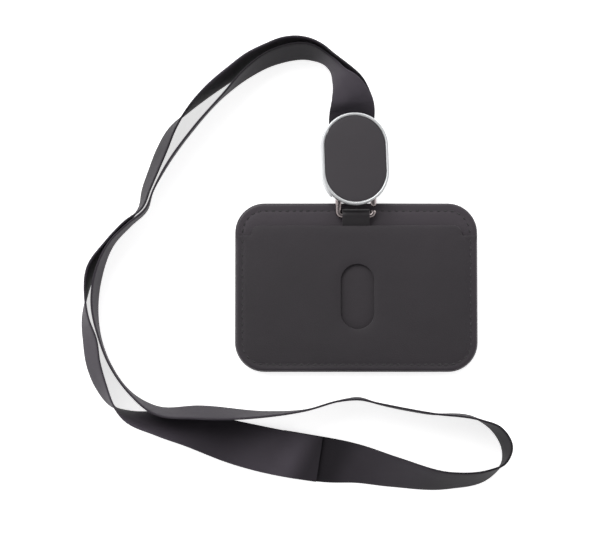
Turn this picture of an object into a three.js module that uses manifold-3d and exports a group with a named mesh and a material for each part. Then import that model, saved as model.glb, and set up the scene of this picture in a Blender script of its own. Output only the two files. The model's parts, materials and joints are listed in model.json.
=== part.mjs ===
// Lanyard with a retractable badge reel and a leather card holder, lying flat on a table.
// Millimetres, +Z up. The origin is on the table, under the middle of the reel and holder together.
import * as THREE from 'three';
import { mergeVertices } from 'three/addons/utils/BufferGeometryUtils.js';
import Module from 'manifold-3d';

const wasm = await Module();
wasm.setup();

// ---- Driving dimensions -------------------------------------------------------------------

const GAP = 0.3; // left between pieces that touch

// Card holder
const HOLDER_HALF_W = 48;
const HOLDER_TOP = 15.95;
const HOLDER_BOTTOM = -50.85;
const HOLDER_CORNER_R = 11.7;
const BACK_T = 1.2;
const MIDDLE_Z = BACK_T + GAP;
const MIDDLE_T = 0.8;
const SPACER_Z = MIDDLE_Z + MIDDLE_T + GAP;
const SPACER_T = 1.2;
const SPACER_W = 4.5;
const FRONT_Z = SPACER_Z + SPACER_T + GAP;
const FRONT_T = 1.2;
const FRONT_INSET = 0.4; // the front panel's edge stands back from the back panel's
const SHOULDER_Y = 2.85; // top of the front panel at its two ends
const POCKET_TOP_Y = 6.9; // top of the front panel between them
const SHOULDER_X = 42.6;
const SHOULDER_FILLET = 1.2;
const THUMB_SLOT_X = 0.4;
const THUMB_SLOT_W = 13.2;
const THUMB_SLOT_TOP = -8.25;
const THUMB_SLOT_BOTTOM = -33.95;
const STITCH_INSET = 3;
const THREAD_W = 0.5;
const THREAD_T = 0.3;

// Wire ring that joins holder and cord; its legs run along Y
const PULL_X = -0.2; // the cord, ring and tab share this centre line
const RING_Z = 5.2;
const WIRE_R = 1.2;
const RING_HALF_W = 6.95; // to the wire's centre
const RING_BOTTOM_Y = 10.9;
const RING_TOP_Y = 21.75;
const RING_BEND_R = 1.5;
const RING_SPLIT_Y = 13.65; // the wire's two ends meet here, on the right leg
const RING_SPLIT = 1.1;

// Leather tab folded round the ring's lower bar
const TAB_HALF_W = 5.4;
const TAB_T = 0.9;
const TAB_PLAY = 0.4; // round the bar
const TAB_TAIL_Y = -3.25;
const TAB_FOLD_END = THREE.MathUtils.degToRad(115); // where the fold's round part ends

// Block on the ring's upper bar that the cord is knotted in
const FERRULE_HALF_W = 2.2;
const FERRULE_Y = [19.85, 23.65];
const FERRULE_Z = [3.3, 8.9];
const FERRULE_CHAMFER = 0.9;
const PULL_CORD_Z = 7.7;

// Reel, in its own frame: origin at the middle of its outline, z = 0 under its rails
const REEL_X = -1.4;
const REEL_Y = 32.65;
const REEL_LIFT = 0.85;
const REEL_ROLL = THREE.MathUtils.degToRad(4); // left side up
const REEL_TURN = THREE.MathUtils.degToRad(2); // counter-clockwise from above
const REEL_R = 13.2;
const REEL_HALF_STRAIGHT = 4.95;
const BEZEL_WALL = 1.05;
const BEZEL_Z = [3.6, 12.2];
const SHELL_R = REEL_R - BEZEL_WALL - GAP;
const INLAY_Z = [11.2, 11.9];
const HOUSING_Z = [4.7, 10.9];
const HOUSING_WALL = 1;
const PLATE_Z = [3.6, 4.4];
const RAIL_X = [9.8, 11.4];
const RAIL_Y = [-6, 8];
const BAY_HALF_W = 9;
const BAY_Y = -7.3;
const BEZEL_NOTCH_HALF_W = 9.3;
const BEZEL_NOTCH_TOP = 8.8;
const BULKHEAD_T = 1.2;
const SPOOL_R = 10.4;
const HUB_R = 4.2;
const POST_R = 2;
const SPOOL_PLAY = 0.4; // between the spool and its post
const SPRING_DRUM_R = 8.8;
const SPRING_DRUM_WALL = 0.7;
const CORD_R = 0.4;
const CORD_Z = 6.85;
const OUTLET_X = 0.5; // brings the tilted reel's outlet over the cord's line
const COIL_R = [4.5, 10.2];
const COIL_HALF_H = 0.8;
const SPRING_TURNS = 5;
const SPRING_R = [2.8, 8.3];
const SPRING_T = 0.35;
const SPRING_Z = [8.75, 9.45];

// Strap
const STRAP_W = 18;
const STRAP_T = 0.8;
const STRAP_PIN_R = 0.7;
const STRAP_PIN = [6.6, 1.7]; // y, z in the reel's frame
const STRAP_PIN_PLAY = 0.15; // the strap is drawn tight round its pin
const STRAP_FOLD_END_Y = 10;

// The strap's two strands, by hand: x, y of its middle, lean in degrees of the edge on the right
// of the way it runs (0 flat, 90 upright), and the height of its lower edge over the table.
const OUTER_STRAND = [
  [-1.7, 43.2, -4, 0.25],
  [-1.8, 48.75, -2, 0.1],
  [-1.5, 53.25, 7, 0],
  [-1.9, 57.25, 28, 0],
  [-2.6, 61.75, 50, 0],
  [-4.7, 66.35, 70, 0],
  [-7.5, 70.35, 82, 0],
  [-10.2, 73.15, 86, 0],
  [-13.5, 75.35, 83, 0],
  [-17.5, 77.05, 80, 0],
  [-22.5, 78.15, 79, 0],
  [-28, 77.85, 79, 0],
  [-35.8, 75.25, 81, 0],
  [-42, 72.35, 82, 0],
  [-49.3, 66.85, 82, 0],
  [-58.1, 60.05, 86, 0],
  [-66.8, 51.75, 95, 0],
  [-72.8, 44.35, 105, 0],
  [-76.6, 36.45, 109, 0],
  [-79.8, 28.45, 108, 0],
  [-82.6, 21.05, 106, 0],
  [-84.7, 13.95, 101, 0],
  [-90.4, 7.95, 93, 0],
  [-98, -0.45, 91.5, 0],
  [-103.9, -10.25, 86, 0],
  [-106.2, -21.75, 96, 0],
  [-106.2, -30.75, 106, 0],
  [-104.5, -38.75, 114, 0],
  [-103.2, -47.25, 114, 0],
  [-100, -56.25, 110, 0],
  [-95.8, -63.25, 100, 0],
  [-89.8, -67.55, 82, 0],
  [-76.6, -70.85, 61, 0],
  [-64.8, -73.25, 45, 0],
  [-46.2, -78.85, 22, 0.2],
  [-34, -81.85, 9, 1],
  [-23.8, -83.85, 2, 1.3],
  [-14.6, -85.25, -4, 1.4],
];
const INNER_STRAND = [
  [-1.7, 43.2, -4, 2.75],
  [-1.8, 48.75, -2, 2],
  [-1.6, 53.25, 8, 2.25],
  [-2.6, 57.25, 32, 2.4],
  [-4.3, 61.45, 51, 1.9],
  [-6.7, 65.55, 72, 0.7],
  [-8.9, 69.35, 82, 0.1],
  [-11.4, 71.85, 85, 0],
  [-18, 75.15, 80, 0],
  [-32.6, 73.25, 80, 0],
  [-43.9, 66.35, 87, 0],
  [-52.3, 58.35, 95, 0],
  [-64.6, 44.45, 96, 0],
  [-76.3, 27.65, 96, 0],
  [-80, 20.4, 97, 0],
  [-82.6, 13.15, 94.5, 0],
  [-89.5, 6.85, 92.5, 0],
  [-96, 0.05, 91, 0],
  [-101.7, -14.25, 88, 0],
  [-102.7, -24.75, 89.5, 0],
  [-100.7, -37.25, 94.5, 0],
  [-96.5, -48.05, 95, 0],
  [-88, -59.45, 93, 0],
  [-79, -65.45, 84.5, 0],
  [-61.8, -66.45, 76.5, 0],
  [-34.4, -67.15, 87, 0],
  [-20, -65.65, 92, 0],
  [-6, -61.85, 92, 0],
  [0.8, -61.15, 90, 0],
  [8, -62.95, 92, 0],
  [28, -66.85, 93, 0],
  [48, -69.35, 91, 0],
  [54.7, -73.15, 98, 0],
  [58.4, -79.75, 97, 0],
  [57.1, -86.15, 86, 0],
  [51.4, -90.45, 75, 0],
  [36, -93.05, 65, 0],
  [14, -89.75, 45, 0],
  [0, -86.75, 29, 0],
  [-14, -85.25, 5, 0],
  [-30, -82.65, -5, 0],
];
const STRAP_CLEARANCE = 0.05; // under the strap where its lift is 0
const STEPS_PER_POINT = 2;

// ---- Shapes and solids --------------------------------------------------------------------

const HALF_TURN = Math.PI;
const QUARTER_TURN = Math.PI / 2;

function extrude(shape, bottom, top, curveSegments = 8) {
  const options = { depth: top - bottom, bevelEnabled: false, curveSegments };
  const geometry = new THREE.ExtrudeGeometry(shape, options);
  geometry.translate(0, 0, bottom);
  return geometry;
}

function box(x, y, z) {
  const geometry = new THREE.BoxGeometry(x[1] - x[0], y[1] - y[0], z[1] - z[0]);
  geometry.translate((x[0] + x[1]) / 2, (y[0] + y[1]) / 2, (z[0] + z[1]) / 2);
  return geometry;
}

function cylinderZ(radius, x, y, bottom, top, sides = 24) {
  const geometry = new THREE.CylinderGeometry(radius, radius, top - bottom, sides);
  geometry.rotateX(QUARTER_TURN);
  geometry.translate(x, y, (bottom + top) / 2);
  return geometry;
}

function cylinderX(radius, left, right, y, z, sides = 16) {
  const geometry = new THREE.CylinderGeometry(radius, radius, right - left, sides);
  geometry.rotateZ(QUARTER_TURN);
  geometry.translate((left + right) / 2, y, z);
  return geometry;
}

function cylinderY(radius, x, near, far, z, sides = 12) {
  const geometry = new THREE.CylinderGeometry(radius, radius, far - near, sides);
  geometry.translate(x, (near + far) / 2, z);
  return geometry;
}

// A profile of [radius, z] pairs turned about the vertical axis through x, y.
function turned(profile, x, y, sides = 40) {
  const points = profile.map(([radius, z]) => new THREE.Vector2(radius, z));
  points.push(points[0].clone());
  const geometry = new THREE.LatheGeometry(points, sides);
  geometry.rotateX(QUARTER_TURN);
  geometry.translate(x, y, 0);
  return geometry;
}

function solid(geometry) {
  const bare = geometry.clone();
  bare.deleteAttribute('normal');
  bare.deleteAttribute('uv');
  const merged = mergeVertices(bare, 1e-4);
  const vertProperties = Float32Array.from(merged.attributes.position.array);
  const triVerts = Uint32Array.from(merged.index.array);
  return new wasm.Manifold(new wasm.Mesh({ numProp: 3, vertProperties, triVerts }));
}

function geometryOf(body) {
  const mesh = body.getMesh();
  const geometry = new THREE.BufferGeometry();
  geometry.setAttribute('position', new THREE.BufferAttribute(mesh.vertProperties, 3));
  geometry.setIndex(new THREE.BufferAttribute(mesh.triVerts, 1));
  return geometry;
}

function joined(first, ...others) {
  let body = solid(first);
  for (const other of others) {
    body = body.add(solid(other));
  }
  return geometryOf(body);
}

function cut(geometry, ...tools) {
  let body = solid(geometry);
  for (const tool of tools) {
    body = body.subtract(solid(tool));
  }
  return geometryOf(body);
}

// A slot with round ends, long in Y.
function stadium(radius, halfStraight, x = 0, y = 0) {
  const shape = new THREE.Shape();
  shape.absarc(x, y + halfStraight, radius, 0, HALF_TURN, false);
  shape.absarc(x, y - halfStraight, radius, HALF_TURN, 2 * HALF_TURN, false);
  shape.closePath();
  return shape;
}

// The holder's outline, drawn in from its edge by inset.
function holderOutline(inset) {
  const right = HOLDER_HALF_W - inset;
  const top = HOLDER_TOP - inset;
  const bottom = HOLDER_BOTTOM + inset;
  const radius = HOLDER_CORNER_R - inset;
  const shape = new THREE.Shape();
  shape.absarc(right - radius, top - radius, radius, 0, QUARTER_TURN, false);
  shape.absarc(radius - right, top - radius, radius, QUARTER_TURN, HALF_TURN, false);
  shape.absarc(radius - right, bottom + radius, radius, HALF_TURN, 3 * QUARTER_TURN, false);
  shape.absarc(right - radius, bottom + radius, radius, -QUARTER_TURN, 0, false);
  shape.closePath();
  return shape;
}

// A U of constant width that follows the holder's sides and bottom, open at the top.
function sideBand(outerInset, width, top) {
  const shape = new THREE.Shape();
  const outer = HOLDER_HALF_W - outerInset;
  const inner = outer - width;
  const outerR = HOLDER_CORNER_R - outerInset;
  const innerR = Math.max(outerR - width, 0.5);
  const outerCy = HOLDER_BOTTOM + outerInset + outerR;
  const innerCy = HOLDER_BOTTOM + outerInset + width + innerR;
  shape.moveTo(-outer, top);
  shape.absarc(outerR - outer, outerCy, outerR, HALF_TURN, 3 * QUARTER_TURN, false);
  shape.absarc(outer - outerR, outerCy, outerR, 3 * QUARTER_TURN, 4 * QUARTER_TURN, false);
  shape.lineTo(outer, top);
  shape.lineTo(inner, top);
  shape.absarc(inner - innerR, innerCy, innerR, 0, -QUARTER_TURN, true);
  shape.absarc(innerR - inner, innerCy, innerR, -QUARTER_TURN, -HALF_TURN, true);
  shape.lineTo(-inner, top);
  shape.closePath();
  return shape;
}

// ---- Card holder --------------------------------------------------------------------------

function frontPanel() {
  const right = HOLDER_HALF_W - FRONT_INSET;
  const radius = HOLDER_CORNER_R - FRONT_INSET;
  const cornerY = HOLDER_BOTTOM + FRONT_INSET + radius;
  const cornerR = POCKET_TOP_Y - SHOULDER_Y - SHOULDER_FILLET;
  const cornerX = SHOULDER_X - cornerR - SHOULDER_FILLET;
  const shape = new THREE.Shape();
  shape.moveTo(-right, SHOULDER_Y);
  shape.absarc(radius - right, cornerY, radius, HALF_TURN, 3 * QUARTER_TURN, false);
  shape.absarc(right - radius, cornerY, radius, 3 * QUARTER_TURN, 4 * QUARTER_TURN, false);
  shape.lineTo(right, SHOULDER_Y);
  const filletY = SHOULDER_Y + SHOULDER_FILLET;
  shape.absarc(SHOULDER_X, filletY, SHOULDER_FILLET, -QUARTER_TURN, -HALF_TURN, true);
  shape.absarc(cornerX, filletY, cornerR, 0, QUARTER_TURN, false);
  shape.absarc(-cornerX, filletY, cornerR, QUARTER_TURN, HALF_TURN, false);
  shape.absarc(-SHOULDER_X, filletY, SHOULDER_FILLET, 0, -QUARTER_TURN, true);
  shape.closePath();
  const slotR = THUMB_SLOT_W / 2;
  const slotHalf = (THUMB_SLOT_TOP - THUMB_SLOT_BOTTOM) / 2 - slotR;
  const slotY = (THUMB_SLOT_TOP + THUMB_SLOT_BOTTOM) / 2;
  shape.holes.push(stadium(slotR, slotHalf, THUMB_SLOT_X, slotY));
  return extrude(shape, FRONT_Z, FRONT_Z + FRONT_T);
}

// The row of stitches on one side of the ring, from the tab round the top corner and down.
function topThread(side) {
  const outer = HOLDER_HALF_W - STITCH_INSET;
  const radius = HOLDER_CORNER_R - STITCH_INSET;
  const top = HOLDER_TOP - STITCH_INSET;
  const start = TAB_HALF_W + 1;
  const low = SHOULDER_Y + 1;
  const sideways = side > 0 ? 0 : HALF_TURN;
  const isRight = side > 0;
  const arcX = side * (outer - radius);
  const arcY = top - radius;
  const shape = new THREE.Shape();
  shape.moveTo(side * start, top - THREAD_W);
  shape.absarc(arcX, arcY, radius - THREAD_W, QUARTER_TURN, sideways, isRight);
  shape.lineTo(side * (outer - THREAD_W), low);
  shape.lineTo(side * outer, low);
  shape.absarc(arcX, arcY, radius, sideways, QUARTER_TURN, !isRight);
  shape.lineTo(side * start, top);
  shape.closePath();
  const bottom = MIDDLE_Z + MIDDLE_T + GAP;
  return extrude(shape, bottom, bottom + THREAD_T);
}

function ringTab() {
  const innerR = WIRE_R + TAB_PLAY;
  const outerR = innerR + TAB_T;
  const tailZ = [SPACER_Z, SPACER_Z + TAB_T];
  const shape = new THREE.Shape();
  shape.moveTo(TAB_TAIL_Y, tailZ[0]);
  shape.lineTo(RING_BOTTOM_Y, tailZ[0]);
  shape.absarc(RING_BOTTOM_Y, RING_Z, outerR, -QUARTER_TURN, TAB_FOLD_END, false);
  shape.lineTo(POCKET_TOP_Y + 0.2, tailZ[1]);
  shape.lineTo(TAB_TAIL_Y, tailZ[1]);
  shape.closePath();
  const hole = new THREE.Path();
  hole.absarc(RING_BOTTOM_Y, RING_Z, innerR, 0, 2 * HALF_TURN, true);
  shape.holes.push(hole);
  return alongX(shape, PULL_X - TAB_HALF_W, PULL_X + TAB_HALF_W);
}

// A section drawn in (y, z), pushed along X from left to right.
function alongX(shape, left, right) {
  const geometry = extrude(shape, 0, right - left, 10);
  geometry.rotateX(QUARTER_TURN);
  geometry.rotateZ(QUARTER_TURN);
  geometry.translate(left, 0, 0);
  return geometry;
}

// ---- Ring and cord ------------------------------------------------------------------------

// The open wire ring: it starts and ends at the split in its right leg.
function ring() {
  const left = PULL_X - RING_HALF_W;
  const right = PULL_X + RING_HALF_W;
  const corners = [
    [right, RING_TOP_Y],
    [left, RING_TOP_Y],
    [left, RING_BOTTOM_Y],
    [right, RING_BOTTOM_Y],
  ].map(([x, y]) => new THREE.Vector3(x, y, RING_Z));
  const start = new THREE.Vector3(right, RING_SPLIT_Y + RING_SPLIT / 2, RING_Z);
  const end = new THREE.Vector3(right, RING_SPLIT_Y - RING_SPLIT / 2, RING_Z);
  const stops = [start, ...corners, end];
  const path = new THREE.CurvePath();
  let from = start;
  for (let i = 1; i < stops.length - 1; i += 1) {
    const before = towards(stops[i], stops[i - 1], RING_BEND_R);
    const after = towards(stops[i], stops[i + 1], RING_BEND_R);
    path.add(new THREE.LineCurve3(from, before));
    path.add(new THREE.QuadraticBezierCurve3(before, stops[i], after));
    from = after;
  }
  path.add(new THREE.LineCurve3(from, end));
  const section = new THREE.Shape();
  section.absarc(0, 0, WIRE_R, 0, 2 * HALF_TURN, false);
  return new THREE.ExtrudeGeometry(section, { steps: 56, curveSegments: 7, extrudePath: path });
}

function towards(from, to, distance) {
  const way = new THREE.Vector3().subVectors(to, from).setLength(distance);
  return from.clone().add(way);
}

function ferrule() {
  const [near, far] = FERRULE_Y;
  const [low, high] = FERRULE_Z;
  const chamfer = FERRULE_CHAMFER;
  const block = new THREE.Shape();
  block.moveTo(near + chamfer, low);
  block.lineTo(far - chamfer, low);
  block.lineTo(far, low + chamfer);
  block.lineTo(far, high - chamfer);
  block.lineTo(far - chamfer, high);
  block.lineTo(near + chamfer, high);
  block.lineTo(near, high - chamfer);
  block.lineTo(near, low + chamfer);
  block.closePath();
  const left = PULL_X - FERRULE_HALF_W;
  const right = PULL_X + FERRULE_HALF_W;
  const body = alongX(block, left, right);
  const barHole = cylinderX(WIRE_R + GAP, left - 1, right + 1, RING_TOP_Y, RING_Z, 24);
  const cordHole = cylinderY(CORD_R + GAP, PULL_X, RING_TOP_Y - 0.2, far + 1, PULL_CORD_Z);
  return cut(body, barHole, cordHole);
}

function pullCord() {
  const insideReel = REEL_Y + BAY_Y + BULKHEAD_T + 0.6;
  return cylinderY(CORD_R, PULL_X, RING_TOP_Y + GAP, insideReel, PULL_CORD_Z, 8);
}

// ---- Reel ---------------------------------------------------------------------------------

function bezel() {
  const shape = stadium(REEL_R, REEL_HALF_STRAIGHT);
  shape.holes.push(stadium(REEL_R - BEZEL_WALL, REEL_HALF_STRAIGHT));
  const wall = extrude(shape, BEZEL_Z[0], BEZEL_Z[1], 20);
  const notchX = [-BEZEL_NOTCH_HALF_W, BEZEL_NOTCH_HALF_W];
  const notchY = [-REEL_R - REEL_HALF_STRAIGHT - 1, -REEL_R];
  return cut(wall, box(notchX, notchY, [BEZEL_Z[0] - 1, BEZEL_NOTCH_TOP]));
}

function faceInlay() {
  return extrude(stadium(SHELL_R, REEL_HALF_STRAIGHT), INLAY_Z[0], INLAY_Z[1], 20);
}

// The space at the reel's lower end that the ring's top lies in.
function bay(bottom, top) {
  const low = -REEL_R - REEL_HALF_STRAIGHT - 1;
  return box([-BAY_HALF_W, BAY_HALF_W], [low, BAY_Y], [bottom, top]);
}

function frontHousing() {
  const shell = extrude(stadium(SHELL_R, REEL_HALF_STRAIGHT), HOUSING_Z[0], HOUSING_Z[1], 16);
  const ceiling = HOUSING_Z[1] - HOUSING_WALL;
  const roomBottom = BAY_Y + BULKHEAD_T;
  const room = new THREE.Shape();
  const roomR = SHELL_R - HOUSING_WALL;
  room.absarc(0, REEL_HALF_STRAIGHT, roomR, 0, HALF_TURN, false);
  room.lineTo(-roomR, roomBottom);
  room.lineTo(roomR, roomBottom);
  room.closePath();
  const drum = extrude(room, HOUSING_Z[0] - 1, ceiling, 16);
  const [cordHoleR, screwHoleR, screwSeatR, screwSeatDepth] = [1.8, 1.3, 2.5, 0.6];
  const top = HOUSING_Z[1];
  const cordHole = cylinderY(cordHoleR, OUTLET_X, BAY_Y - 1, roomBottom + 1, CORD_Z, 16);
  const screwHole = cylinderZ(screwHoleR, 0, REEL_HALF_STRAIGHT, ceiling - 1, top + 1);
  const screwSeat = cylinderZ(screwSeatR, 0, REEL_HALF_STRAIGHT, top - screwSeatDepth, top + 1);
  return cut(shell, drum, bay(HOUSING_Z[0] - 1, ceiling), cordHole, screwHole, screwSeat);
}

function rearCover() {
  const plate = extrude(stadium(SHELL_R, REEL_HALF_STRAIGHT), PLATE_Z[0], PLATE_Z[1], 16);
  const rails = [-1, 1].map((side) => {
    const x = side > 0 ? RAIL_X : [-RAIL_X[1], -RAIL_X[0]];
    return box(x, RAIL_Y, [0, PLATE_Z[0] + 0.4]);
  });
  const cover = joined(plate, ...rails);
  const reach = RAIL_X[1] + 1;
  const pinHole = cylinderX(STRAP_PIN_R + GAP, -reach, reach, STRAP_PIN[0], STRAP_PIN[1]);
  const postHole = cylinderZ(POST_R + GAP, 0, REEL_HALF_STRAIGHT, PLATE_Z[0] - 1, PLATE_Z[1] + 1);
  return cut(cover, bay(PLATE_Z[0] - 1, PLATE_Z[1] + 1), pinHole, postHole);
}

function axlePost() {
  const [bottom, top, boreBottom, boreR] = [3.7, 9.6, 6.2, 1.2];
  const profile = [
    [0, bottom],
    [POST_R, bottom],
    [POST_R, top],
    [boreR, top],
    [boreR, boreBottom],
    [0, boreBottom],
  ];
  return turned(profile, 0, REEL_HALF_STRAIGHT, 24);
}

function axleScrew() {
  const [tip, seat, top, shankR, headR] = [6.6, 10.6, 10.9, 0.9, 2.2];
  const profile = [
    [0, tip],
    [shankR, tip],
    [shankR, seat],
    [headR, seat],
    [headR, top],
    [0, top],
  ];
  return turned(profile, 0, REEL_HALF_STRAIGHT, 24);
}

function spool() {
  const bore = POST_R + SPOOL_PLAY;
  const drumOuterR = SPRING_DRUM_R + SPRING_DRUM_WALL;
  const [bottom, floorTop, flangeBottom, flangeTop, top] = [4.75, 5.7, 8, 8.4, 9.55];
  const profile = [
    [bore, bottom],
    [SPOOL_R, bottom],
    [SPOOL_R, floorTop],
    [HUB_R, floorTop],
    [HUB_R, flangeBottom],
    [SPOOL_R, flangeBottom],
    [SPOOL_R, flangeTop],
    [drumOuterR, flangeTop],
    [drumOuterR, top],
    [SPRING_DRUM_R, top],
    [SPRING_DRUM_R, flangeTop],
    [bore, flangeTop],
  ];
  return turned(profile, 0, REEL_HALF_STRAIGHT);
}

function woundCord() {
  const profile = [
    [COIL_R[0], CORD_Z - COIL_HALF_H],
    [COIL_R[1], CORD_Z - COIL_HALF_H],
    [COIL_R[1], CORD_Z + COIL_HALF_H],
    [COIL_R[0], CORD_Z + COIL_HALF_H],
  ];
  return turned(profile, 0, REEL_HALF_STRAIGHT);
}

// A flat spiral strip round the axle post.
function mainspring() {
  const stepsPerTurn = 20;
  const steps = SPRING_TURNS * stepsPerTurn;
  const outer = [];
  const inner = [];
  for (let i = 0; i <= steps; i += 1) {
    const angle = (2 * HALF_TURN * i) / stepsPerTurn;
    const radius = THREE.MathUtils.lerp(SPRING_R[0], SPRING_R[1], i / steps);
    const way = new THREE.Vector2(Math.cos(angle), Math.sin(angle));
    outer.push(way.clone().multiplyScalar(radius + SPRING_T / 2));
    inner.push(way.clone().multiplyScalar(radius - SPRING_T / 2));
  }
  const shape = new THREE.Shape([...outer, ...inner.reverse()]);
  const geometry = extrude(shape, SPRING_Z[0], SPRING_Z[1]);
  geometry.translate(0, REEL_HALF_STRAIGHT, 0);
  return geometry;
}

function outletEyelet() {
  const [boreR, sleeveR, rimR, rimT] = [0.75, 1.5, 2.3, 0.5];
  const length = BULKHEAD_T + 0.4;
  const profile = [
    [boreR, 0],
    [boreR, length + rimT],
    [rimR, length + rimT],
    [rimR, length],
    [sleeveR, length],
    [sleeveR, 0],
  ].reverse();
  const geometry = turned(profile, 0, 0, 20);
  geometry.rotateX(QUARTER_TURN);
  geometry.translate(OUTLET_X, BAY_Y - GAP + length, CORD_Z);
  return geometry;
}

function strapPin() {
  return cylinderX(STRAP_PIN_R, -RAIL_X[1], RAIL_X[1], STRAP_PIN[0], STRAP_PIN[1], 12);
}

// The strap's turn round the pin, with its two short ends pointing up the reel.
function strapFold() {
  const innerR = STRAP_PIN_R + STRAP_PIN_PLAY;
  const outerR = innerR + STRAP_T;
  const [y, z] = STRAP_PIN;
  const shape = new THREE.Shape();
  shape.moveTo(STRAP_FOLD_END_Y, z + outerR);
  shape.absarc(y, z, outerR, QUARTER_TURN, 3 * QUARTER_TURN, false);
  shape.lineTo(STRAP_FOLD_END_Y, z - outerR);
  shape.lineTo(STRAP_FOLD_END_Y, z - innerR);
  shape.absarc(y, z, innerR, 3 * QUARTER_TURN, QUARTER_TURN, true);
  shape.lineTo(STRAP_FOLD_END_Y, z + innerR);
  shape.closePath();
  return alongX(shape, -STRAP_W / 2, STRAP_W / 2);
}

// ---- Strap --------------------------------------------------------------------------------

// A smooth way through rows of numbers whose first two are a place: cubic pieces whose slopes
// allow for uneven spacing.
function smoothRows(rows, stepsPerRow) {
  const spans = [];
  for (let i = 1; i < rows.length; i += 1) {
    spans.push(Math.hypot(rows[i][0] - rows[i - 1][0], rows[i][1] - rows[i - 1][1]));
  }
  const slopes = rows.map((row, i) => {
    if (i === 0 || i === rows.length - 1) {
      const j = Math.min(i, rows.length - 2);
      return row.map((_, k) => (rows[j + 1][k] - rows[j][k]) / spans[j]);
    }
    const [before, after] = [spans[i - 1], spans[i]];
    return row.map((value, k) => {
      const into = (value - rows[i - 1][k]) / before;
      const out = (rows[i + 1][k] - value) / after;
      return (into * after + out * before) / (before + after);
    });
  });
  const smooth = [];
  for (let i = 0; i < rows.length - 1; i += 1) {
    for (let step = 0; step < stepsPerRow; step += 1) {
      const t = step / stepsPerRow;
      smooth.push(cubicRow(rows[i], rows[i + 1], slopes[i], slopes[i + 1], spans[i], t));
    }
  }
  smooth.push(rows[rows.length - 1]);
  return smooth;
}

function cubicRow(from, to, slopeFrom, slopeTo, span, t) {
  const rise = t * t * (3 - 2 * t);
  const leave = t * (1 - t) * (1 - t) * span;
  const arrive = t * t * (t - 1) * span;
  return from.map((value, k) => {
    return value + (to[k] - value) * rise + slopeFrom[k] * leave + slopeTo[k] * arrive;
  });
}

function strand(rows) {
  const stations = smoothRows(rows, STEPS_PER_POINT);
  const rings = stations.map(([x, y, lean, lift], i) => {
    const before = stations[Math.max(i - 1, 0)];
    const after = stations[Math.min(i + 1, stations.length - 1)];
    const along = new THREE.Vector3(after[0] - before[0], after[1] - before[1], 0);
    along.normalize();
    const angle = THREE.MathUtils.degToRad(lean);
    const [cos, sin] = [Math.cos(angle), Math.sin(angle)];
    const across = new THREE.Vector3(along.y * cos, -along.x * cos, sin);
    const face = new THREE.Vector3().crossVectors(across, along);
    const halfHeight = (STRAP_W * Math.abs(sin) + STRAP_T * Math.abs(cos)) / 2;
    const centre = new THREE.Vector3(x, y, STRAP_CLEARANCE + lift + halfHeight);
    const corners = [
      [1, 1],
      [-1, 1],
      [-1, -1],
      [1, -1],
    ];
    return corners.map(([a, b]) => {
      const corner = centre.clone().addScaledVector(across, (a * STRAP_W) / 2);
      return corner.addScaledVector(face, (b * STRAP_T) / 2);
    });
  });
  return skin(rings);
}

// Joins rings of corners along a route into one closed body. Opposite sides are split along the
// same diagonal, so that a thin strip keeps its thickness where it twists.
function skin(rings) {
  const sides = rings[0].length;
  const positions = rings.flat().flatMap((corner) => corner.toArray());
  const index = [];
  for (let i = 1; i < rings.length; i += 1) {
    for (let k = 0; k < sides; k += 1) {
      const next = (k + 1) % sides;
      const [a, b] = [(i - 1) * sides + k, (i - 1) * sides + next];
      const [c, d] = [i * sides + k, i * sides + next];
      if (k < sides / 2) {
        index.push(a, c, b, b, c, d);
      } else {
        index.push(a, d, b, a, c, d);
      }
    }
  }
  const last = (rings.length - 1) * sides;
  for (let k = 1; k < sides - 1; k += 1) {
    index.push(0, k, k + 1);
    index.push(last, last + k + 1, last + k);
  }
  const geometry = new THREE.BufferGeometry();
  geometry.setAttribute('position', new THREE.Float32BufferAttribute(positions, 3));
  geometry.setIndex(index);
  return geometry;
}

// ---- Materials and assembly ---------------------------------------------------------------

function material(color, roughness, metalness = 0) {
  return new THREE.MeshStandardMaterial({ color, roughness, metalness });
}

const leather = material('#424042', 0.6);
const lining = material('#333234', 0.8);
const thread = material('#2f2e30', 0.7);
const satin = material('#3c3a3e', 0.5);
const bezelMetal = material('#d6d7d9', 0.35, 0.9);
const inlayFinish = material('#4a494b', 0.65);
const housingPlastic = material('#2a2a2c', 0.5);
const spoolPlastic = material('#e4e2dc', 0.5);
const steel = material('#a9abae', 0.3, 1);
const ringMetal = material('#8d8686', 0.25, 1);
const cordNylon = material('#1f1f21', 0.7);

const object = new THREE.Group();
const reel = new THREE.Group();
reel.position.set(REEL_X, REEL_Y, REEL_LIFT);
reel.rotation.set(0, REEL_ROLL, REEL_TURN, 'ZYX');
object.add(reel);

function add(group, name, geometry, finish) {
  const mesh = new THREE.Mesh(geometry, finish);
  mesh.name = name;
  group.add(mesh);
}

add(reel, 'bezel', bezel(), bezelMetal);
add(reel, 'face_inlay', faceInlay(), inlayFinish);
add(reel, 'front_housing', frontHousing(), housingPlastic);
add(reel, 'rear_cover', rearCover(), housingPlastic);
add(reel, 'axle_post', axlePost(), steel);
add(reel, 'axle_screw', axleScrew(), steel);
add(reel, 'spool', spool(), spoolPlastic);
add(reel, 'wound_cord', woundCord(), cordNylon);
add(reel, 'mainspring', mainspring(), steel);
add(reel, 'outlet_eyelet', outletEyelet(), steel);
add(reel, 'strap_pin', strapPin(), steel);
add(reel, 'strap_fold', strapFold(), satin);

add(object, 'strap_outer', strand(OUTER_STRAND), satin);
add(object, 'strap_inner', strand(INNER_STRAND), satin);

add(object, 'pull_cord', pullCord(), cordNylon);
add(object, 'cord_ferrule', ferrule(), steel);
add(object, 'ring', ring(), ringMetal);

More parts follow.
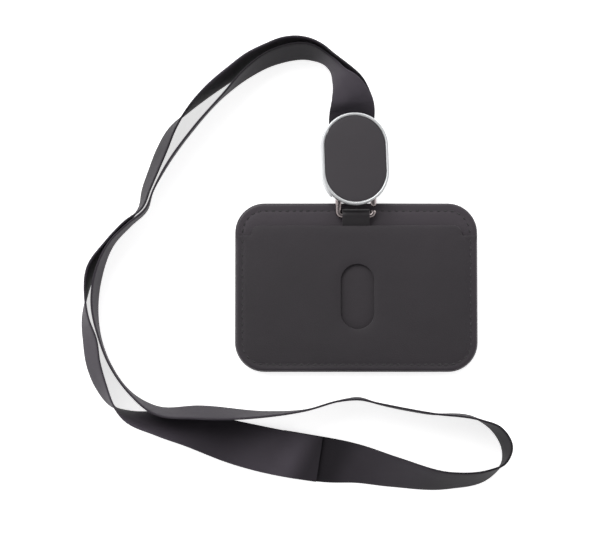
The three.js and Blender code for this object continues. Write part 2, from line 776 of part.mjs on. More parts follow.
add(object, 'back_panel', extrude(holderOutline(0), 0, BACK_T), leather);
add(object, 'middle_panel', extrude(holderOutline(0.2), MIDDLE_Z, MIDDLE_Z + MIDDLE_T), leather);
const spacerShape = sideBand(FRONT_INSET + 0.2, SPACER_W, SHOULDER_Y - 0.2);
add(object, 'pocket_spacer', extrude(spacerShape, SPACER_Z, SPACER_Z + SPACER_T), lining);
add(object, 'front_panel', frontPanel(), leather);
add(object, 'ring_tab', ringTab(), leather);
const frontThreadZ = FRONT_Z + FRONT_T + GAP;
const frontThreadShape = sideBand(STITCH_INSET, THREAD_W, SHOULDER_Y - 1);
add(object, 'front_thread', extrude(frontThreadShape, frontThreadZ, frontThreadZ + THREAD_T), thread);
add(object, 'top_thread_left', topThread(-1), thread);
add(object, 'top_thread_right', topThread(1), thread);

export default object;
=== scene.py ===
"""A lanyard with a retractable badge reel and a leather card holder, lying on a table.

Everything is in metres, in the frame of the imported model: +Z up, the holder below (-Y), the reel
above (+Y), and the origin on the table between them.
"""

import json
import math

import bpy
from mathutils import Matrix, Vector
from mathutils.geometry import delaunay_2d_cdt
from mathutils.kdtree import KDTree


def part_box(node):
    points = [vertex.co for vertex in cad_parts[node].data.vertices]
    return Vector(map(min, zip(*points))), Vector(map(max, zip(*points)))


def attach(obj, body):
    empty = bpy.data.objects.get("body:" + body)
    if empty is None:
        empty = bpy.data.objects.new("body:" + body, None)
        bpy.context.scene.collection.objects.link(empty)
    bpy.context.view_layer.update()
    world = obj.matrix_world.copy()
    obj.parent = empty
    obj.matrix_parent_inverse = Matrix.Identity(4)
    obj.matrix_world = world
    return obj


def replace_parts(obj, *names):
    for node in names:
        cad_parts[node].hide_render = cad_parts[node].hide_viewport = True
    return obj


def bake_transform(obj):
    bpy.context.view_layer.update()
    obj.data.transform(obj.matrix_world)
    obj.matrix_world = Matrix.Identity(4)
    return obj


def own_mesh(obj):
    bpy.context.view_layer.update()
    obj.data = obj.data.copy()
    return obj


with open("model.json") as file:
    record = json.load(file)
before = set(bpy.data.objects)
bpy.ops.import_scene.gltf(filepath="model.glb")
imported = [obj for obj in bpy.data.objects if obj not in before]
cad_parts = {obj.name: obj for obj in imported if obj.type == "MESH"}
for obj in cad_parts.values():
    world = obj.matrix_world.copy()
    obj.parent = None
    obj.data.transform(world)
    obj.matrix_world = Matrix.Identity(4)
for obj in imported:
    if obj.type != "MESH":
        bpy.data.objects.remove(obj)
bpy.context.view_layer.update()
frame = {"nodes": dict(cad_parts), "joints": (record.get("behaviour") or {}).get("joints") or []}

MM = 0.001

# ---- Sizes read from the frame ----

HOLDER_LOW, HOLDER_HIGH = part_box("back_panel")
FRONT_LOW, FRONT_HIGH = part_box("front_panel")
MIDDLE_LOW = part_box("middle_panel")[0]
SPACER_LOW, SPACER_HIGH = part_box("pocket_spacer")
TAB_LOW, TAB_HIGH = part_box("ring_tab")
RING_LOW, RING_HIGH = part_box("ring")
CORD_LOW, CORD_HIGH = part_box("pull_cord")


def joint(name):
    return next(j for j in frame["joints"] if j["name"] == name)


def reel_matrix():
    """The reel's own frame: its spool's axis is Z, and its long side is Y."""
    axis = Vector(joint("spool_spin")["axis"]).normalized()
    turn = math.atan2(axis.y, axis.x)
    roll = math.acos(axis.z)
    place = Matrix.Translation(Vector(joint("spool_spin")["pos_m"]))
    return place @ Matrix.Rotation(turn, 4, "Z") @ Matrix.Rotation(roll, 4, "Y")


REEL = reel_matrix()

# ---- Sizes that the frame doesn't name ----

# Holder
CORNER_R = 11.7 * MM
SHOULDER_Y = 2.85 * MM
SHOULDER_X = 42.6 * MM
SHOULDER_FILLET = 1.2 * MM
THUMB_SLOT_X = 0.4 * MM
THUMB_SLOT_R = 6.6 * MM
THUMB_SLOT_Y = (-33.95 * MM, -8.25 * MM)
LAYER_GAP = 0.05 * MM
# painted light: the leather is made lighter between these two Y positions, towards the holder's
# upper edge
PAINTED_LIGHT_FROM = -14 * MM
PAINTED_LIGHT_TO = 8 * MM
STITCH_INSET = 3 * MM
STITCH_PITCH = 2.7 * MM
STITCH_LENGTH = 2 * MM
STITCH_R = 0.3 * MM
STITCH_SUNK = 0.16 * MM
GROOVE_DEPTH = 0.11 * MM
GROOVE_W = 0.75 * MM
WAVE_HEIGHT = 0.06 * MM
WAVE_FADE = 6 * MM
CROWN = 0.12 * MM
CROWN_REACH = 9 * MM
BELLY = 1.25 * MM
BELLY_REACH = (22 * MM, 20 * MM)
MIDDLE_BEVEL = (1.1 * MM, 0.65 * MM)
FRONT_BEVEL = (1 * MM, 0.8 * MM)
# edge paint with a painted highlight along the rounded outer edge, and a painted falloff of that
# light inwards: insets in metres, and its strength
PAINT_AND_HIGHLIGHT_LINE = (1.9 * MM, 1 * MM)
HIGHLIGHT_FALLOFF = (4.6 * MM, 3.2 * MM)
HIGHLIGHT_FALLOFF_STRENGTH = 0.24

# Reel, measured from its spool's axis and its rails' lower side
REEL_MIDDLE_Y = -4.95 * MM
REEL_R = 13.2 * MM
REEL_HALF_STRAIGHT = 4.95 * MM
BEZEL_WALL = 1.15 * MM
BEZEL_ROUND_R = 0.48 * MM
BEZEL_CHAMFER = 0.12 * MM
BEZEL_Z = (3.6 * MM, 12.2 * MM)
BEZEL_NOTCH_HALF_W = 9.3 * MM
BEZEL_NOTCH_TOP = 8.8 * MM
INLAY_Z = (11.2 * MM, 11.95 * MM)
INLAY_GAP = 0.06 * MM
INLAY_CROWN = 0.2 * MM
STRAP_PIN_Y = 6.6 * MM + REEL_MIDDLE_Y
STRAP_PIN_Z = 1.7 * MM
STRAP_PIN_R = 0.7 * MM
STRAP_PIN_GAP = 0.15 * MM
STRAP_FOLD_END_Y = 10.3 * MM + REEL_MIDDLE_Y

# Ring and tab
WIRE_R = 1.2 * MM
RING_BEND_R = 1.5 * MM
RING_SPLIT_Y = 13.65 * MM
RING_SPLIT = 1.1 * MM
TAB_T = 0.9 * MM
TAB_GAP = 0.35 * MM
TAB_DROOP = 0.25 * MM

# Strap
STRAP_W = 18 * MM
STRAP_T = 0.8 * MM
STRAP_CLEARANCE = 0.05 * MM
SEAM_SLANT = 0.35
OUTER_LENGTH = 0.314
INNER_LENGTH = 0.470

# Painted light and shade along the satin of each strand, where its folds catch the light or not:
# distance along it, in metres, and brightness factor
OUTER_PAINTED_LIGHT = [
    (0.05, 1.2), (0.085, 2.0), (0.108, 0.6), (0.14, 0.9), (0.18, 1.5), (0.22, 1.4),
    (0.25, 1.8), (0.275, 1.15), (0.296, 1.8), (0.304, 2.2), (0.313, 0.8),
]
INNER_PAINTED_LIGHT = [
    (0.0, 0.7), (0.011, 0.8), (0.016, 1.9), (0.026, 2.4), (0.04, 0.5), (0.06, 0.5), (0.09, 1.1),
    (0.22, 1.25), (0.36, 0.8), (0.385, 0.35), (0.4, 0.5), (0.425, 1.1), (0.44, 1.0),
    (0.45, 0.5),
]
STEPS_PER_POINT = 8

# The strap's two strands, in metres and degrees: x, y of its middle, lean of the edge on
# the right of the way it runs (0 flat, 90 upright), and the height of its lower edge.
OUTER_STRAND = [
    (-0.0017, 0.0432, -4, 0.00025),
    (-0.0018, 0.04875, -2, 0.0001),
    (-0.0015, 0.05325, 7, 0),
    (-0.0019, 0.05725, 28, 0),
    (-0.0026, 0.06175, 50, 0),
    (-0.0047, 0.06635, 70, 0),
    (-0.0075, 0.07035, 82, 0),
    (-0.0102, 0.07315, 86, 0),
    (-0.0135, 0.07535, 83, 0),
    (-0.0175, 0.07705, 80, 0),
    (-0.0225, 0.07815, 79, 0),
    (-0.028, 0.07785, 79, 0),
    (-0.0358, 0.07525, 81, 0),
    (-0.042, 0.07235, 82, 0),
    (-0.0493, 0.06685, 82, 0),
    (-0.0581, 0.06005, 86, 0),
    (-0.0668, 0.05175, 95, 0),
    (-0.0728, 0.04435, 105, 0),
    (-0.0766, 0.03645, 109, 0),
    (-0.0798, 0.02845, 108, 0),
    (-0.0826, 0.02105, 106, 0),
    (-0.0847, 0.01395, 101, 0),
    (-0.0904, 0.00795, 93, 0),
    (-0.098, -0.00045, 91.5, 0),
    (-0.1039, -0.01025, 86, 0),
    (-0.1062, -0.02175, 96, 0),
    (-0.1062, -0.03075, 106, 0),
    (-0.1045, -0.03875, 114, 0),
    (-0.1032, -0.04725, 114, 0),
    (-0.1, -0.05625, 110, 0),
    (-0.0958, -0.06325, 100, 0),
    (-0.0898, -0.06755, 82, 0),
    (-0.0766, -0.07085, 61, 0),
    (-0.0648, -0.07325, 45, 0),
    (-0.0462, -0.07885, 22, 0.0002),
    (-0.034, -0.08185, 9, 0.001),
    (-0.0238, -0.08385, 2, 0.0013),
    (-0.0146, -0.08525, -4, 0.0014),
]
INNER_STRAND = [
    (-0.0017, 0.0432, -4, 0.00275),
    (-0.0018, 0.04875, -2, 0.002),
    (-0.0016, 0.05325, 8, 0.00225),
    (-0.0026, 0.05725, 32, 0.0024),
    (-0.0043, 0.06145, 51, 0.0019),
    (-0.0067, 0.06555, 72, 0.0007),
    (-0.0089, 0.06935, 82, 0.0001),
    (-0.0114, 0.07185, 85, 0),
    (-0.018, 0.07515, 80, 0),
    (-0.0326, 0.07325, 80, 0),
    (-0.0439, 0.06635, 87, 0),
    (-0.0523, 0.05835, 95, 0),
    (-0.0646, 0.04445, 96, 0),
    (-0.0763, 0.02765, 96, 0),
    (-0.08, 0.0204, 97, 0),
    (-0.0826, 0.01315, 94.5, 0),
    (-0.0895, 0.00685, 92.5, 0),
    (-0.096, 0.00005, 91, 0),
    (-0.1017, -0.01425, 88, 0),
    (-0.1027, -0.02475, 89.5, 0),
    (-0.1007, -0.03725, 94.5, 0),
    (-0.0965, -0.04805, 95, 0),
    (-0.088, -0.05945, 93, 0),
    (-0.079, -0.06545, 84.5, 0),
    (-0.0618, -0.06645, 76.5, 0),
    (-0.0344, -0.06715, 87, 0),
    (-0.02, -0.06565, 92, 0),
    (-0.006, -0.06185, 92, 0),
    (0.0008, -0.06115, 90, 0),
    (0.008, -0.06295, 92, 0),
    (0.028, -0.06685, 93, 0),
    (0.048, -0.06935, 91, 0),
    (0.0547, -0.07315, 98, 0),
    (0.0584, -0.07975, 97, 0),
    (0.0571, -0.08615, 86, 0),
    (0.0514, -0.09045, 75, 0),
    (0.036, -0.09305, 65, 0),
    (0.014, -0.08975, 45, 0),
    (0, -0.08675, 29, 0),
    (-0.014, -0.08525, 5, 0),
    (-0.03, -0.08265, -5, 0),
]

# ---- Camera, floor and light ----

VIEW_CENTRE = Vector((-0.0203, -0.00925, 0))
CAMERA_DISTANCE = 0.640
CAMERA_TILT = math.radians(2.5)
CAMERA_LENS_MM = 95
SENSOR_WIDTH_MM = 36
FLOOR_SIZE = 6
FLOOR_GLOW = 0.7
KEY_PLACE = (-0.5, 0.7, 1.1)
KEY_SIZE = 0.9
KEY_WATTS = 9
KEY_COLOUR = (1, 0.998, 0.992)
BRIGHT_SIDE = (-0.35, 0.85, 0)
STUDIO_STRENGTH = (0.7, 2.2)


def add_object(name, data):
    thing = bpy.data.objects.new(name, data)
    bpy.context.scene.collection.objects.link(thing)
    return thing


def aim(thing, place, target):
    """Puts a camera or a light at a place and turns it to a target."""
    thing.location = place
    way = Vector(target) - Vector(place)
    thing.rotation_euler = way.to_track_quat("-Z", "Y").to_euler()


def make_camera():
    data = bpy.data.cameras.new("camera")
    data.lens = CAMERA_LENS_MM
    data.sensor_width = SENSOR_WIDTH_MM
    data.clip_start = 0.01
    camera = add_object("camera", data)
    back = Vector((0, -math.sin(CAMERA_TILT), math.cos(CAMERA_TILT)))
    aim(camera, VIEW_CENTRE + back * CAMERA_DISTANCE, VIEW_CENTRE)
    bpy.context.scene.camera = camera


def add_node(tree, kind, links=None, values=None, **settings):
    """A new shader node, with its settings, the sources of its inputs and their values."""
    node = tree.nodes.new("ShaderNode" + kind)
    for name, setting in settings.items():
        setattr(node, name, setting)
    for socket, value in (values or {}).items():
        node.inputs[socket].default_value = value
    for socket, source in (links or {}).items():
        tree.links.new(source, node.inputs[socket])
    return node


def add_ramp(tree, value, stops, interpolation="LINEAR"):
    """A colour that goes through (position, colour) stops as value goes from 0 to 1."""
    node = add_node(tree, "ValToRGB", {"Fac": value})
    node.color_ramp.interpolation = interpolation
    elements = node.color_ramp.elements
    while len(elements) < len(stops):
        elements.new(1)
    for element, (position, colour) in zip(elements, stops):
        element.position = position
        element.color = (*colour, 1)
    return node.outputs["Color"]


def make_lights():
    """A soft key light from the upper left, in a white studio that is darker straight above."""
    key = bpy.data.lights.new("key", "AREA")
    key.shape = "RECTANGLE"
    key.size = KEY_SIZE
    key.size_y = KEY_SIZE
    key.energy = KEY_WATTS
    key.color = KEY_COLOUR
    aim(add_object("key", key), KEY_PLACE, (0, 0, 0))
    world = bpy.data.worlds.new("studio")
    bpy.context.scene.world = world
    world.use_nodes = True
    tree = world.node_tree
    direction = add_node(tree, "TexCoord").outputs["Generated"]
    height = add_node(tree, "SeparateXYZ", {0: direction}).outputs["Z"]
    colour = add_ramp(tree, height, [(0.25, (1, 1, 1)), (0.97, (0.12, 0.12, 0.122))])
    side = add_node(tree, "VectorMath", {0: direction}, {1: BRIGHT_SIDE}, operation="DOT_PRODUCT")
    low, high = STUDIO_STRENGTH
    strength = add_node(tree, "MapRange", {"Value": side.outputs["Value"]},
                        {"From Min": -1, "To Min": low, "To Max": high})
    background = tree.nodes["Background"]
    tree.links.new(colour, background.inputs["Color"])
    tree.links.new(strength.outputs["Result"], background.inputs["Strength"])


def make_floor():
    half = FLOOR_SIZE / 2
    corners = [(-half, -half, 0), (half, -half, 0), (half, half, 0), (-half, half, 0)]
    mesh = bpy.data.meshes.new("floor")
    mesh.from_pydata(corners, [], [(0, 1, 2, 3)])
    floor = add_object("floor", mesh)
    finish = Finish("floor_paper", (0.93, 0.93, 0.93), 0.9)
    finish.constant("Specular IOR Level", 0.1)
    finish.constant("Emission Color", (1, 1, 1, 1))
    finish.constant("Emission Strength", FLOOR_GLOW)
    floor.data.materials.append(finish.material)


def make_view_settings():
    settings = bpy.context.scene.view_settings
    settings.view_transform = "Standard"
    settings.look = "None"
    settings.exposure = 0.0


# ---- Materials ----


class Finish:
    """A node material under construction, with short ways to add the nodes that repeat."""

    def __init__(self, name, colour, roughness, metallic=0.0):
        self.material = bpy.data.materials.new(name)
        self.material.use_nodes = True
        self.tree = self.material.node_tree
        self.shader = self.tree.nodes["Principled BSDF"]
        self.constant("Base Color", (*colour, 1))
        self.constant("Roughness", roughness)
        self.constant("Metallic", metallic)
        self.colour = colour
        self.normal = None

    def constant(self, socket, value):
        self.shader.inputs[socket].default_value = value

    def drive(self, socket, source):
        self.tree.links.new(source, self.shader.inputs[socket])

    def add(self, kind, links=None, values=None, **settings):
        return add_node(self.tree, kind, links, values, **settings)

    def place(self, stretch=(1, 1, 1), turn=(0, 0, 0)):
        where = self.add("TexCoord").outputs["Object"]
        values = {"Scale": stretch, "Rotation": turn}
        return self.add("Mapping", {"Vector": where}, values).outputs["Vector"]

    def along_strap(self, stretch):
        """Coordinates that follow the strap: x along it and y across it, in metres."""
        where = self.add("UVMap", uv_map="strap").outputs["UV"]
        return self.add("Mapping", {"Vector": where}, {"Scale": stretch}).outputs["Vector"]

    def part(self, vector, axis):
        return self.add("SeparateXYZ", {0: vector}).outputs[axis]

    def noise(self, size, vector=None, detail=3):
        values = {"Scale": 1 / size, "Detail": detail, "Roughness": 0.55}
        return self.add("TexNoise", {"Vector": vector or self.place()}, values).outputs["Fac"]

    def cells(self, size):
        node = self.add("TexVoronoi", {"Vector": self.place()}, {"Scale": 1 / size})
        return node.outputs["Distance"]

    def ribs(self, size, vector, direction="X"):
        # a wave texture's band is a twentieth of a turn of its scale
        scale = math.pi / (10 * size)
        node = self.add("TexWave", {"Vector": vector}, {"Scale": scale}, bands_direction=direction)
        return node.outputs["Fac"]

    def spread(self, value, low, high, start=0.0, end=1.0):
        """Goes from low to high as value goes from start to end."""
        values = {"From Min": start, "From Max": end, "To Min": low, "To Max": high}
        return self.add("MapRange", {"Value": value}, values).outputs["Result"]

    def ramp(self, value, dark, light):
        return add_ramp(self.tree, value, [(0, dark), (1, light)])

    def mix(self, amount, first, second):
        node = self.add("Mix", {"Factor": amount, 6: first, 7: second}, data_type="RGBA")
        return node.outputs[2]

    def uneven(self, size, low, high):
        """The colour, varied between two factors in patches of that size."""
        return self.ramp(self.noise(size), *shades(self.colour, low, high))

    def vary(self, size, low, high):
        self.drive("Base Color", self.uneven(size, low, high))

    def shade(self, colour, along, tones, length):
        """Sets the base colour, made brighter or darker by the tones along a length: painted light
        and shade.
        """
        distance = self.add("Math", {0: self.part(along, "X"), 1: self.part(along, "Y")})
        stops = [(at / length, (tone, tone, tone)) for at, tone in tones]
        tone = add_ramp(self.tree, distance.outputs[0], stops, "EASE")
        shaded = self.add("Mix", {6: colour, 7: tone}, {"Factor": 1}, data_type="RGBA",
                          blend_type="MULTIPLY")
        self.drive("Base Color", shaded.outputs[2])

    def roughen(self, value, low, high):
        self.drive("Roughness", self.spread(value, low, high))

    def bump(self, value, depth, strength):
        """Adds a bump of that depth in metres on the ones before it."""
        links = {"Height": value}
        if self.normal is not None:
            links["Normal"] = self.normal
        values = {"Strength": strength, "Distance": depth}
        self.normal = self.add("Bump", links, values).outputs["Normal"]
        self.drive("Normal", self.normal)


def shades(colour, low, high):
    """colour made darker and lighter by two factors."""
    return tuple(c * low for c in colour), tuple(c * high for c in colour)


def leather(name, colour, roughness=0.52, painted_light_tone=1.25):
    """Fine grained, semi-matte leather: small pebbles, a few pores and slow changes of tone. Its
    cut edges are painted, so they are smoother and a little lighter, and a painted highlight where
    they catch the light lightens them more. Towards the holder's upper edge it is painted lighter,
    as painted light where the light falls from above."""
    finish = Finish(name, colour, roughness)
    painted = finish.add("Attribute", attribute_name="painted_edge_and_highlight").outputs["Fac"]
    uneven = finish.noise(18 * MM, detail=4)
    low = finish.ramp(uneven, *shades(colour, 0.86, 1.14))
    # painted light: high is the leather made lighter by a factor, blended in towards the holder's
    # upper edge
    high = finish.ramp(uneven, *shades(colour, 0.86 * painted_light_tone, 1.14 * painted_light_tone))
    painted_light = finish.spread(finish.part(finish.place(), "Y"), 0, 1, PAINTED_LIGHT_FROM, PAINTED_LIGHT_TO)
    # edge paint and painted highlight: the rounded edges are coloured lighter where they catch the
    # light
    edge = finish.ramp(finish.noise(4 * MM), *shades(colour, 1.6, 1.9))
    finish.drive("Base Color", finish.mix(painted, finish.mix(painted_light, low, high), edge))
    patchy = finish.spread(finish.noise(6 * MM), roughness - 0.06, roughness + 0.1)
    gloss = finish.add("MapRange", {"Value": painted, "To Min": patchy},
                       {"To Max": roughness - 0.14})
    finish.drive("Roughness", gloss.outputs["Result"])
    finish.bump(finish.noise(9 * MM, detail=2), 0.25 * MM, 0.25)
    finish.bump(finish.cells(0.42 * MM), 0.05 * MM, 0.45)
    finish.bump(finish.noise(0.15 * MM, detail=2), 0.02 * MM, 0.5)
    finish.constant("Specular IOR Level", 0.42)
    finish.constant("Sheen Weight", 0.06)
    return finish.material


def satin_ribbon(name, length, tones):
    """Woven satin: fine cross ribs, long threads, a soft sheen and slightly uneven tone. The light
    and shade that satin catches along its folds is painted in: tones lists (distance along,
    brightness)."""
    finish = Finish(name, (0.034, 0.0298, 0.0362), 0.42)
    uneven = finish.uneven(9 * MM, 0.9, 1.12)
    finish.shade(uneven, finish.along_strap((1 / length, SEAM_SLANT / length, 1)), tones, length)
    fine = finish.along_strap((1, 1, 1))
    long_threads = finish.along_strap((0.04, 1, 1))
    finish.bump(finish.ribs(0.42 * MM, fine), 0.035 * MM, 0.5)
    finish.bump(finish.noise(0.22 * MM, long_threads, detail=2), 0.03 * MM, 0.45)
    finish.roughen(finish.noise(0.5 * MM, long_threads), 0.5, 0.68)
    finish.constant("Specular IOR Level", 0.25)
    finish.constant("IOR", 1.25)
    return finish.material


def thread_finish():
    """Twisted polyester thread."""
    finish = Finish("sewing_thread", (0.0155, 0.014, 0.016), 0.55)
    finish.vary(2 * MM, 0.8, 1.3)
    twist = finish.place(turn=(0, 0, math.radians(40)))
    finish.bump(finish.ribs(0.2 * MM, twist), 0.05 * MM, 0.6)
    finish.constant("Sheen Weight", 0.2)
    return finish.material


def bezel_metal():
    """Satin silver: fine blasted grain with faint turning marks."""
    finish = Finish("bezel_silver", (0.7, 0.71, 0.72), 0.5, 1.0)
    finish.vary(5 * MM, 0.96, 1.03)
    finish.roughen(finish.noise(1.2 * MM, detail=4), 0.44, 0.56)
    finish.bump(finish.noise(0.12 * MM, detail=2), 0.01 * MM, 0.35)
    return finish.material


def inlay_finish():
    """Smooth matte charcoal, with the faintest moulded texture."""
    finish = Finish("inlay_charcoal", (0.0365, 0.0315, 0.037), 0.55)
    finish.vary(12 * MM, 0.93, 1.07)
    finish.bump(finish.noise(0.3 * MM), 0.02 * MM, 0.4)
    finish.bump(finish.cells(0.5 * MM), 0.02 * MM, 0.25)
    finish.roughen(finish.noise(3 * MM), 0.5, 0.62)
    return finish.material


def moulded_plastic(name, colour, roughness):
    finish = Finish(name, colour, roughness)
    finish.vary(10 * MM, 0.9, 1.1)
    finish.bump(finish.noise(0.25 * MM, detail=4), 0.02 * MM, 0.5)
    finish.roughen(finish.noise(2 * MM), roughness - 0.05, roughness + 0.08)
    return finish.material


def drawn_steel(name, colour, roughness):
    """Bright drawn steel, with fine lines along Y and small changes in gloss."""
    finish = Finish(name, colour, roughness, 1.0)
    finish.vary(4 * MM, 0.9, 1.08)
    lines = finish.place(stretch=(1, 0.05, 1))
    finish.bump(finish.noise(0.12 * MM, lines, detail=2), 0.008 * MM, 0.4)
    finish.roughen(finish.noise(0.8 * MM, lines), roughness - 0.06, roughness + 0.1)
    return finish.material


def ring_metal():
    """Polished gunmetal plating, slightly pink, with faint scuffs."""
    finish = Finish("ring_gunmetal", (0.36, 0.31, 0.31), 0.16, 1.0)
    finish.vary(3 * MM, 0.85, 1.1)
    finish.roughen(finish.noise(0.7 * MM, detail=4), 0.1, 0.24)
    finish.bump(finish.noise(0.5 * MM, detail=2), 0.01 * MM, 0.2)
    return finish.material


def braided_cord():
    """Thin black nylon braid: two sets of slanting ribs."""
    finish = Finish("braided_nylon", (0.016, 0.016, 0.018), 0.5)
    finish.vary(1.5 * MM, 0.7, 1.5)
    for side in (-1, 1):
        slant = finish.place(turn=(0, 0, side * math.radians(35)))
        finish.bump(finish.ribs(0.22 * MM, slant, "Y"), 0.04 * MM, 0.6)
    finish.constant("Sheen Weight", 0.2)
    return finish.material


# ---- Mesh making ----


def mesh_piece(name, vertices, faces, material, body):
    """A mesh object with its material, that rides on a body."""
    mesh = bpy.data.meshes.new(name)
    mesh.from_pydata([tuple(v) for v in vertices], [], faces)
    mesh.validate()
    mesh.update()
    mesh.polygons.foreach_set("use_smooth", [True] * len(mesh.polygons))
    mesh.materials.append(material)
    piece = add_object(name, mesh)
    if body:
        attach(piece, body)
    return piece


def sharpen(piece, degrees=35):
    """Keeps edges sharper than that angle crisp under smooth shading."""
    piece.data.set_sharp_from_angle(angle=math.radians(degrees))


def skin_faces(rings, sides, closed_path=False):
    """Quads between rings of corners; the ends of an open path are capped."""
    faces = []
    for i in range(rings if closed_path else rings - 1):
        j = (i + 1) % rings
        for k in range(sides):
            n = (k + 1) % sides
            faces.append((i * sides + k, i * sides + n, j * sides + n, j * sides + k))
    if not closed_path:
        faces.append(tuple(reversed(range(sides))))
        faces.append(tuple(range((rings - 1) * sides, rings * sides)))
    return faces


def arc(centre, radius, start, end, steps):
    """Points on an arc in a plane, both ends included; angles in degrees."""
    points = []
    for i in range(steps + 1):
        angle = math.radians(start + (end - start) * i / steps)
        points.append((centre[0] + radius * math.cos(angle), centre[1] + radius * math.sin(angle)))
    return points


def straight(a, b, steps):
    """Points on a straight line, both ends included."""
    return [(a[0] + (b[0] - a[0]) * i / steps, a[1] + (b[1] - a[1]) * i / steps)
            for i in range(steps + 1)]


def rounded_section(width, thickness, edge_r, steps=3, across=8):
    """The outline of a strip's section, rounded at its two edges, anticlockwise from lower left."""
    half_t = thickness / 2
    x = width / 2 - edge_r
    y = half_t - edge_r
    points = straight((-x, -half_t), (x, -half_t), across)
    points += arc((x, -y), edge_r, -90, 0, steps)[1:]
    points += arc((x, y), edge_r, 0, 90, steps)[1 if y == 0 else 0:]
    points += straight((x, half_t), (-x, half_t), across)[1:]
    points += arc((-x, y), edge_r, 90, 180, steps)[1:]
    points += arc((-x, -y), edge_r, 180, 270, steps)[1 if y == 0 else 0:-1]
    return points


def rounded_rectangle(half_w, low, high, radius, steps=14):
    """A rounded rectangle about x = 0, anticlockwise from its right side's upper end."""
    x, low_y, high_y = half_w - radius, low + radius, high - radius
    points = []
    for turn, centre in enumerate(((x, high_y), (-x, high_y), (-x, low_y), (x, low_y))):
        points += arc(centre, radius, 90 * turn, 90 * (turn + 1), steps)
    return points


def stadium(radius, half_straight, centre=(0, 0), steps=24, along=10):
    """A slot with round ends, long in Y, anticlockwise, with points along its straight sides."""
    x, y = centre
    low, high = y - half_straight, y + half_straight
    points = arc((x, high), radius, 0, 180, steps)
    points += straight((x - radius, high), (x - radius, low), along)[1:-1]
    points += arc((x, low), radius, 180, 360, steps)
    points += straight((x + radius, low), (x + radius, high), along)[1:-1]
    return points


def densified(loop, spacing):
    """A closed loop with points no further apart than spacing."""
    points = []
    for a, b in zip(loop, [*loop[1:], loop[0]]):
        points += straight(a, b, max(1, math.ceil(math.dist(a, b) / spacing)))[:-1]
    return points


def without_repeats(loop, least=1e-6):
    kept = []
    for point in loop:
        if not kept or math.dist(point, kept[-1]) > least:
            kept.append(point)
    if math.dist(kept[0], kept[-1]) <= least:
        kept.pop()
    return kept


def offset_loop(loop, distances):
    """The loop moved to its left by each point's distance: inwards, for an anticlockwise loop."""
    points = [Vector(point) for point in loop]
    moved = []
    for before, here, after, distance in zip(
            [points[-1], *points], points, [*points[1:], points[0]], distances):
        into = (here - before).normalized()
        out = (after - here).normalized()
        left_of_into = Vector((-into.y, into.x))
        left = (left_of_into + Vector((-out.y, out.x))).normalized()
        moved.append(tuple(here + left * (distance / max(left.dot(left_of_into), 0.5))))
    return moved


def inside(point, loop):
    """Whether a point is inside a closed loop."""
    x, y = point
    hit = False
    for a, b in zip(loop, [loop[-1], *loop]):
        if (a[1] > y) != (b[1] > y):
            crossing = a[0] + (y - a[1]) * (b[0] - a[0]) / (b[1] - a[1])
            if x < crossing:
                hit = not hit
    return hit


def edge_profile(bottom, top, radius, bevel, steps=5):
    """(inset, z) pairs up a plate's edge: a round lower corner, and an upper one that is rounded
    over the bevel's width and height."""
    width, height = bevel
    lower = arc((radius, bottom + radius), radius, 270, 180, steps)
    upper = arc((1, -1), 1, 180, 90, steps)
    return lower + [(width * a, top + height * b) for a, b in upper]


def mark_edge_paint_and_highlight(piece, amounts):
    """Writes how much of each vertex has edge paint and painted highlight, for the leather's
    material.
    """
    layer = piece.data.attributes.new("painted_edge_and_highlight", "FLOAT", "POINT")
    layer.data.foreach_set("value", amounts)


def tree_of(points):
    tree = KDTree(len(points))
    for i, point in enumerate(points):
        tree.insert((*point, 0), i)
    tree.balance()
    return tree


def between(point, rims):
    """Whether a point is inside the first rim and outside the others, which go round holes."""
    return inside(point, rims[0]) and not any(inside(point, rim) for rim in rims[1:])


def face_points(rims, guides, spacing):
    """Points for a face between its rims: those of the guides, and a grid that keeps off both."""
    fixed = [point for rim in rims for point in rim]
    tree = tree_of(fixed)
    kept = [p for p in guides if tree.find((*p, 0))[2] > 0.2 * spacing and between(p, rims)]
    tree = tree_of(fixed + kept)
    low, high = [[pick(p[k] for p in rims[0]) for k in (0, 1)] for pick in (min, max)]
    columns = int((high[0] - low[0]) / spacing)
    rows = int((high[1] - low[1]) / spacing)
    for row in range(rows + 1):
        for column in range(columns + 1):
            shift = 0.5 * (row % 2)
            point = (low[0] + (column + shift) * spacing, low[1] + row * spacing)
            if tree.find((*point, 0))[2] >= 0.5 * spacing and between(point, rims):
                kept.append(point)
    return kept


def face_triangles(rims, guides, spacing):
    """Triangles over a face between its rims, as (points, triangles, rim point of each point)."""
    points, edges = [], []
    for rim in rims:
        first = len(points)
        for k, point in enumerate(rim):
            points.append(Vector(point))
            edges.append((first + k, first + (k + 1) % len(rim)))
    on_rim = len(points)
    points += [Vector(p) for p in face_points(rims, guides, spacing)]
    coords, _, triangles, sources, _, _ = delaunay_2d_cdt(points, edges, [], 1, 1e-9)
    rim_point = [min((o for o in origin if o < on_rim), default=None) for origin in sources]
    kept = []
    for triangle in triangles:
        middle = sum((coords[c] for c in triangle), Vector((0, 0))) / 3
        if not any(inside(middle, rim) for rim in rims[1:]):
            kept.append(tuple(triangle))
    return coords, kept, rim_point


